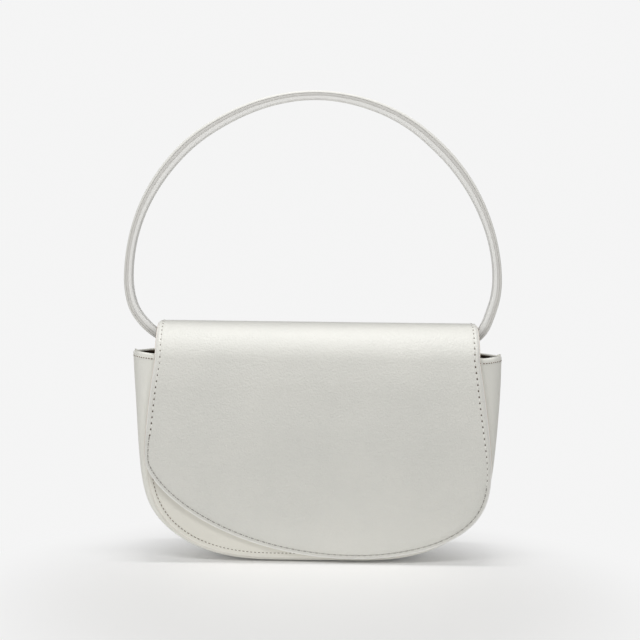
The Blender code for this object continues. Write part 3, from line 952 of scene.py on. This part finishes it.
def tabLine():
    centre = Vector((handleHinge.y, handleHinge.z))
    bend = tabFoot(body["rimZ"] - tab["bendDrop"])
    back = (bend - centre).normalized()
    up = Vector((-back.y, back.x))
    fold = (tab["thickness"] + tab["gap"]) / 2
    line = [tabFoot(body["rimZ"] - tab["footDrop"]), bend, centre + back * tab["neck"] + up * fold]
    for step in range(tab["loopSteps"] + 1):
        turn = math.pi / 2 + math.radians(tab["wrapDegrees"]) * (step / tab["loopSteps"] - 0.5)
        line.append(centre + (up * math.cos(turn) - back * math.sin(turn)) * tab["radius"])
    line.append(centre + back * tab["neck"] - up * fold)
    line.append(centre + back * tab["tail"] - up * (tab["tailShare"] * fold))
    line = evenly(line, tab["spacing"])
    for repeat in range(tab["soften"]):
        inner = [(a + b * 2 + c) / 4 for a, b, c in zip(line, line[1:], line[2:])]
        line = [line[0]] + inner + [line[-1]]
    return line


def makeTab(name, node, mirror):
    line = tabLine()
    normals = sideways(line)

    def ring(column, row):
        across, off = rounded(2 * math.pi * column / tab["ring"], 2 / tab["edgePower"])
        spot = line[row] + normals[row] * (tab["thickness"] / 2 * off)
        return Vector((mirror * (tab["x"] + tab["halfWidth"] * across), spot.x, spot.y))

    piece = tubePiece(gridPiece(name, tab["ring"], len(line) - 1, ring), 40)
    along = Vector((0.0, -math.sin(lean), math.cos(lean)))
    outward = Vector((0.0, -math.cos(lean), -math.sin(lean)))
    lowest = body["rimZ"] - tab["footDrop"] + tab["stitchStart"]
    count = int((tab["footDrop"] - tab["bendDrop"] - 2 * tab["stitchStart"]) / tab["stitchPitch"])
    spots = []
    for side in (-1, 1):
        for step in range(count + 1):
            spot = tabFoot(lowest + step * tab["stitchPitch"])
            here = Vector((mirror * tab["x"] + side * tab["stitchX"], spot.x, spot.y))
            spots.append((here + outward * (tab["thickness"] / 2), along, outward))
    seam = sewRow(name + "Seam", spots, sewing["hemThread"], sewing["hemHole"], tab["stitchPitch"])
    settle("bag_body", [node], piece, *seam)


makeTab("leftTab", "anchor_tab_left", -1)
makeTab("rightTab", "anchor_tab_right", 1)
print("handle anchored")


# fills each input of a node with a value, or with a link from another node's output
def fill(tree, node, inputs):
    for name, value in inputs.items():
        if isinstance(value, bpy.types.NodeSocket):
            tree.links.new(value, node.inputs[name])
        else:
            node.inputs[name].default_value = value
    return node


def addNode(tree, kind, inputs, **settings):
    node = tree.nodes.new("ShaderNode" + kind)
    for name, value in settings.items():
        setattr(node, name, value)
    return fill(tree, node, inputs)


def mathNode(tree, operation, first, second):
    return addNode(tree, "Math", {0: first, 1: second}, operation=operation).outputs[0]


def noiseNode(tree, place, scale, detail, roughness):
    return addNode(tree, "TexNoise", {"Vector": place, "Scale": scale, "Detail": detail,
                                      "Roughness": roughness}).outputs["Fac"]


# patterns that several finishes share are node groups
def newGroup(name, inputs, outputs):
    group = bpy.data.node_groups.new(name, "ShaderNodeTree")
    group.interface.new_socket("Place", in_out="INPUT", socket_type="NodeSocketVector")
    for title, value in inputs.items():
        socket = group.interface.new_socket(title, in_out="INPUT", socket_type="NodeSocketFloat")
        socket.default_value = value
    for title in outputs:
        group.interface.new_socket(title, in_out="OUTPUT", socket_type="NodeSocketFloat")
    return group, group.nodes.new("NodeGroupInput").outputs, group.nodes.new("NodeGroupOutput")


# pebbles of a fine grain, broken up by creases and pores
def grainGroup():
    group, entry, leave = newGroup("leatherGrain", {"Pebble Scale": 1000.0, "Crease Scale": 260.0},
                                   ("Height", "Cloud", "Fleck"))
    place = entry["Place"]
    warp = addNode(group, "TexNoise", {"Vector": place, "Scale": 420.0})
    pull = addNode(group, "VectorMath", {0: warp.outputs["Color"], 1: (0.0009, 0.0009, 0.0009), 2: place},
                   operation="MULTIPLY_ADD")
    pebble = addNode(group, "TexVoronoi", {"Smoothness": 0.35, "Vector": pull.outputs[0],
                                           "Scale": entry["Pebble Scale"]}, feature="SMOOTH_F1")
    dome = mathNode(group, "SUBTRACT", 1.0, pebble.outputs["Distance"])
    crease = noiseNode(group, place, entry["Crease Scale"], 4.0, 0.6)
    creased = mathNode(group, "MULTIPLY", crease, 0.9)
    fill(group, leave, {"Height": mathNode(group, "ADD", dome, creased),
                        "Cloud": noiseNode(group, place, 17.0, 3.0, 0.55),
                        "Fleck": noiseNode(group, place, 900.0, 2.0, 0.5)})
    return group


# plain weave of a lining cloth, with slubs in its yarns
def weaveGroup():
    group, entry, leave = newGroup("weave", {"Yarns": 1500.0}, ("Height", "Slub"))
    waves = [addNode(group, "TexWave", {"Vector": entry["Place"], "Scale": entry["Yarns"],
                                        "Distortion": 1.2}, bands_direction=direction).outputs["Fac"]
             for direction in ("X", "Z")]
    fill(group, leave, {"Height": mathNode(group, "MULTIPLY", *waves),
                        "Slub": noiseNode(group, entry["Place"], 240.0, 5.0, 0.6)})
    return group


grain = grainGroup()
weave = weaveGroup()


# a new material, and its pattern's outputs
def newFinish(name, pattern, scales, **values):
    paint = bpy.data.materials.new(name)
    paint.use_nodes = True
    tree = paint.node_tree
    shader = tree.nodes["Principled BSDF"]
    fill(tree, shader, {"Metallic": values.get("metallic", 0.0), "Specular IOR Level": values["specular"],
                        "Sheen Weight": values.get("sheen", 0.0), "Roughness": values["roughness"]})
    place = addNode(tree, "TexCoord", {}).outputs["Object"]
    marks = addNode(tree, "Group", {"Place": place, **scales}, node_tree=pattern).outputs
    return paint, tree, shader, marks


def mixColours(tree, share, first, last):
    return addNode(tree, "Mix", {"A": first, "B": last, "Factor": share}, data_type="RGBA").outputs["Result"]


def between(tree, share, first, last):
    ramp = addNode(tree, "MapRange", {"From Min": 0.3, "From Max": 0.7, "Value": share})
    return mixColours(tree, ramp.outputs["Result"], (*first, 1.0), (*last, 1.0))


def bump(tree, height, strength, distance):
    return addNode(tree, "Bump", {"Strength": strength, "Distance": distance,
                                  "Height": height}).outputs["Normal"]


def spreadOver(tree, share, low, high):
    return addNode(tree, "MapRange", {"From Min": 0.25, "From Max": 0.75, "To Min": low, "To Max": high,
                                      "Value": share}).outputs["Result"]


# the second colour is painted light: a painted highlight along the rounded edge of the leather, a near-white
# lower part of the flap's edge paint, and lighter needle holes high on the roll, where light falls into them
def leather(name, first, last, pebbles=800.0, creases=260.0, strength=0.8, distance=0.00012,
            rough=(0.5, 0.62), specular=0.5, rim=None):
    paint, tree, shader, marks = newFinish(name, grain, {"Pebble Scale": pebbles, "Crease Scale": creases},
                                           roughness=rough[0], specular=specular)
    colour = between(tree, marks["Cloud"], first, last)
    if rim:
        share = addNode(tree, "Attribute", {}, attribute_name="rim").outputs["Fac"]
        colour = mixColours(tree, share, colour, (*rim, 1.0))
    fill(tree, shader, {"Base Color": colour, "Roughness": spreadOver(tree, marks["Fleck"], *rough),
                        "Normal": bump(tree, marks["Height"], strength, distance)})
    return paint


def cloth(name, first, last, yarns=1500.0):
    paint, tree, shader, marks = newFinish(name, weave, {"Yarns": yarns}, roughness=0.85, specular=0.2,
                                           sheen=0.15)
    fill(tree, shader, {"Base Color": between(tree, marks["Slub"], first, last),
                        "Normal": bump(tree, marks["Height"], 0.4, 0.0001)})
    return paint


def steel(name, first, last):
    paint, tree, shader, marks = newFinish(name, grain, {}, roughness=0.3, specular=0.5, metallic=1.0)
    fill(tree, shader, {"Base Color": between(tree, marks["Cloud"], first, last),
                        "Roughness": spreadOver(tree, marks["Fleck"], 0.22, 0.38)})
    return paint


# marks how far a piece takes its material's second colour, its painted light, from one height to another
def markRise(name, heights):
    mesh = bpy.data.objects[name].data
    rim = mesh.attributes.get("rim") or mesh.attributes.new("rim", "FLOAT", "POINT")
    rim.data.foreach_set("value", [risen(point.co.z, heights) for point in mesh.vertices])


def dress(paint, *names):
    for name in names:
        materials = (frame["nodes"].get(name) or bpy.data.objects[name]).data.materials
        materials.clear()
        materials.append(paint)


paintFilm = {"pebbles": 2600.0, "creases": 900.0, "strength": 0.12, "distance": 0.00005, "rough": (0.38, 0.5)}
threadTwist = {"pebbles": 4200.0, "creases": 1500.0, "strength": 0.4, "distance": 0.00005}
pierced = {"pebbles": 2600.0, "strength": 0.2, "rough": (0.8, 0.9), "specular": 0.1}
strapGrain = {"pebbles": 1400.0, "strength": 0.03}
innerParts = ("frontFacing", "backFacing", "leftTab", "rightTab")
# low down the flap's edge paint takes a near-white painted highlight, and high on the roll the side seam's
# needle holes take painted light that falls into them
markRise("flapEdge", flap["edgeHighlightHeights"])
markRise("flapSideSeamHoles", flap["holeLightHeights"])
# the flap's leather takes a near-white painted highlight along its rounded edge
dress(leather("whiteLeather", (0.733, 0.73, 0.682), (0.781, 0.773, 0.72), strength=1.0, distance=0.00016,
              rough=(0.44, 0.56), specular=0.95, rim=(0.96, 0.95, 0.915)), "flapLeather")
# the gusset's white leather is painted paler than the flap's: painted light on the sides of the bag
dress(leather("gussetLeatherPaintedLight", (0.915, 0.907, 0.84), (0.93, 0.922, 0.857), strength=0.4),
      "gussetLeather")
# the panels take a paler painted highlight along their rounded edges
dress(leather("panelCreamLeather", (0.84, 0.82, 0.742), (0.865, 0.847, 0.77), strength=0.4,
              rim=(0.93, 0.91, 0.85)), "frontPanel", "backPanel")
dress(leather("strapOutsideLeather", (0.83, 0.82, 0.778), (0.852, 0.843, 0.802), rough=(0.66, 0.74),
              specular=0.3, **strapGrain), "handleOuter")
# the inner strap is painted near white, paler than the outer one: painted light on the inside of the arch
dress(leather("strapInsideLeatherPaintedLight", (0.955, 0.948, 0.918), (0.968, 0.96, 0.93), rough=(0.6, 0.68),
              specular=0.4, **strapGrain), "handleInner")
dress(leather("strapCoreLeather", (0.75, 0.737, 0.706), (0.77, 0.757, 0.727), pebbles=1700.0,
              strength=0.02, rough=(0.62, 0.7), specular=0.3), "handleCore", "strapEndLeft", "strapEndRight")
dress(leather("edgePaint", (0.845, 0.805, 0.73), (0.865, 0.827, 0.752), **paintFilm),
      "frontPanelEdge", "backPanelEdge")
# the flap's edge paint is beige; low down it takes a near-white painted highlight where the edge catches the
# light
dress(leather("flapEdgePaint", (0.76, 0.69, 0.61), (0.79, 0.72, 0.64), rim=(0.97, 0.962, 0.93),
              **paintFilm), "flapEdge")
dress(leather("waxedThread", (0.9, 0.89, 0.85), (0.94, 0.93, 0.89), rough=(0.5, 0.65), **threadTwist),
      "hemThread", *[seam + "SeamThread" for seam in ("flapSide", "frontPanel", "backPanel", *innerParts)])
# the same waxed thread painted grey along the flap's lower seam: painted shade where the stitches run level
dress(leather("shadedThread", (0.33, 0.315, 0.29), (0.4, 0.385, 0.355), rough=(0.6, 0.75), specular=0.2,
              **threadTwist), "flapLowSeamThread")
# the needle holes' dark colour is painted shade; high on the roll they turn lighter, painted light falling
# into them
dress(leather("needleHoleShade", (0.08, 0.055, 0.038), (0.12, 0.085, 0.06), rim=(0.42, 0.4, 0.36),
              **pierced), *[seam + "SeamHoles" for seam in ("flapSide", "flapLow", *innerParts)])
# the dark brown of the hem and panel seam holes is painted shade in the seams' creases
dress(leather("shallowHoleShade", (0.2, 0.155, 0.115), (0.27, 0.215, 0.165), **pierced),
      "hemHoles", "frontPanelSeamHoles", "backPanelSeamHoles")
dress(leather("innerLeather", (0.6, 0.57, 0.5), (0.65, 0.62, 0.55), pebbles=1500.0, strength=0.25,
              rough=(0.55, 0.7), specular=0.3), "flapLining", *innerParts)
dress(cloth("liningCloth", (0.12, 0.08, 0.052), (0.165, 0.115, 0.078)),
      "frontLining", "backLining", "gussetLining")
dress(leather("boardFibre", (0.33, 0.27, 0.19), (0.4, 0.33, 0.24), pebbles=700.0, creases=180.0,
              strength=0.3, rough=(0.8, 0.95), specular=0.15), "front_board", "back_board", "flap_board")
dress(steel("brushedSteel", (0.56, 0.55, 0.53), (0.64, 0.63, 0.6)),
      "front_magnet", "flap_keeper", "anchor_pin_left", "anchor_pin_right")
print("materials on")

# studio: a pale floor that fades into the same pale background, an overhead strip and a soft room.
# a lamp is its power, its place, what it points at and its size
studio = {
    "background": (0.91, 0.91, 0.91), "floor": (0.895, 0.891, 0.882), "floorSize": 6.0,
    "floorRough": 0.9, "floorSpecular": 0.1,
    "fadeCentre": (0.0, -0.12, 0.0), "fadeStart": 0.08, "fadeEnd": 0.24, "room": 0.11,
    "lamps": {
        "overheadStrip": (5.6, (0.0, 0.0, 1.3), (0.0, 0.0, 0.0), (0.46, 0.09)),
        "frontTop": (6.2, (0.0, -0.62, 1.2), (0.0, 0.0, 0.1), (1.2, 0.3)),
        "frontFill": (1.6, (0.0, -1.7, 0.5), (0.0, 0.0, 0.1), (1.4, 0.9)),
        "leftFill": (4.4, (-1.3, -0.9, 0.6), (0.0, 0.0, 0.12), (0.9, 0.9)),
        "rightFill": (1.6, (1.3, -0.9, 0.6), (0.0, 0.0, 0.12), (0.9, 0.9)),
    },
}


def makeFloor():
    bpy.ops.object.select_all(action="DESELECT")
    bpy.ops.mesh.primitive_plane_add(size=studio["floorSize"], location=(0.0, 0.0, 0.0))
    floor = bpy.context.active_object
    floor.name = "floor"
    paint = bpy.data.materials.new("paleFloor")
    paint.use_nodes = True
    paint.cycles.emission_sampling = "NONE"
    tree = paint.node_tree
    shader = fill(tree, tree.nodes["Principled BSDF"],
                  {"Base Color": (*studio["floor"], 1.0), "Roughness": studio["floorRough"],
                   "Specular IOR Level": studio["floorSpecular"]})
    place = addNode(tree, "TexCoord", {}).outputs["Object"]
    distance = addNode(tree, "VectorMath", {0: place, 1: studio["fadeCentre"]}, operation="DISTANCE")
    fade = addNode(tree, "MapRange", {"From Min": studio["fadeStart"], "From Max": studio["fadeEnd"],
                                      "Value": distance.outputs["Value"]}, interpolation_type="SMOOTHSTEP")
    # for camera rays the floor glows with the background colour away from the bag, a glow that is no lamp;
    # where it fades in it also paints over the outer part of the bag's shadow
    glow = addNode(tree, "Emission", {"Color": (*studio["background"], 1.0)})
    rays = addNode(tree, "LightPath", {}).outputs
    seen = mathNode(tree, "MULTIPLY", fade.outputs["Result"], rays["Is Camera Ray"])
    blend = addNode(tree, "MixShader", {"Fac": seen, 1: shader.outputs["BSDF"], 2: glow.outputs["Emission"]})
    fill(tree, tree.nodes["Material Output"], {"Surface": blend.outputs["Shader"]})
    floor.data.materials.append(paint)


def makeRoom():
    world = bpy.data.worlds.new("room")
    bpy.context.scene.world = world
    world.use_nodes = True
    tree = world.node_tree
    soft = fill(tree, tree.nodes["Background"], {"Color": (1.0, 1.0, 1.0, 1.0), "Strength": studio["room"]})
    seen = addNode(tree, "Background", {"Color": (*studio["background"], 1.0), "Strength": 1.0})
    rays = addNode(tree, "LightPath", {}).outputs
    direct = mathNode(tree, "MAXIMUM", rays["Is Camera Ray"], rays["Is Transmission Ray"])
    direct = mathNode(tree, "MAXIMUM", direct, rays["Is Glossy Ray"])
    blend = addNode(tree, "MixShader", {"Fac": direct, 1: soft.outputs["Background"],
                                        2: seen.outputs["Background"]})
    fill(tree, tree.nodes["World Output"], {"Surface": blend.outputs["Shader"]})


def softbox(name, power, place, target, size):
    bpy.ops.object.light_add(type="AREA", location=place)
    lamp = bpy.context.active_object
    lamp.name = name
    lamp.data.shape = "RECTANGLE"
    lamp.data.size, lamp.data.size_y = size
    lamp.data.energy = power
    lamp.rotation_euler = (Vector(target) - Vector(place)).to_track_quat("-Z", "Y").to_euler()


makeFloor()
makeRoom()
for name, lamp in studio["lamps"].items():
    softbox(name, *lamp)

# camera: level with the handle, about a metre away
view = {"place": (0.001, -0.948, 0.24), "pitch": 4.87, "roll": 0.7, "focalPixels": 1408,
        "imagePixels": 640, "sensor": 36.0, "nearest": 0.05}
bpy.ops.object.camera_add(location=view["place"])
camera = bpy.context.active_object
camera.data.sensor_width = view["sensor"]
camera.data.lens = view["sensor"] * view["focalPixels"] / view["imagePixels"]
camera.data.clip_start = view["nearest"]
tilt = Matrix.Rotation(math.radians(90 - view["pitch"]), 4, "X")
camera.rotation_euler = (tilt @ Matrix.Rotation(math.radians(view["roll"]), 4, "Z")).to_euler()
bpy.context.scene.camera = camera
bpy.context.scene.view_settings.view_transform = "Standard"
print("studio ready")
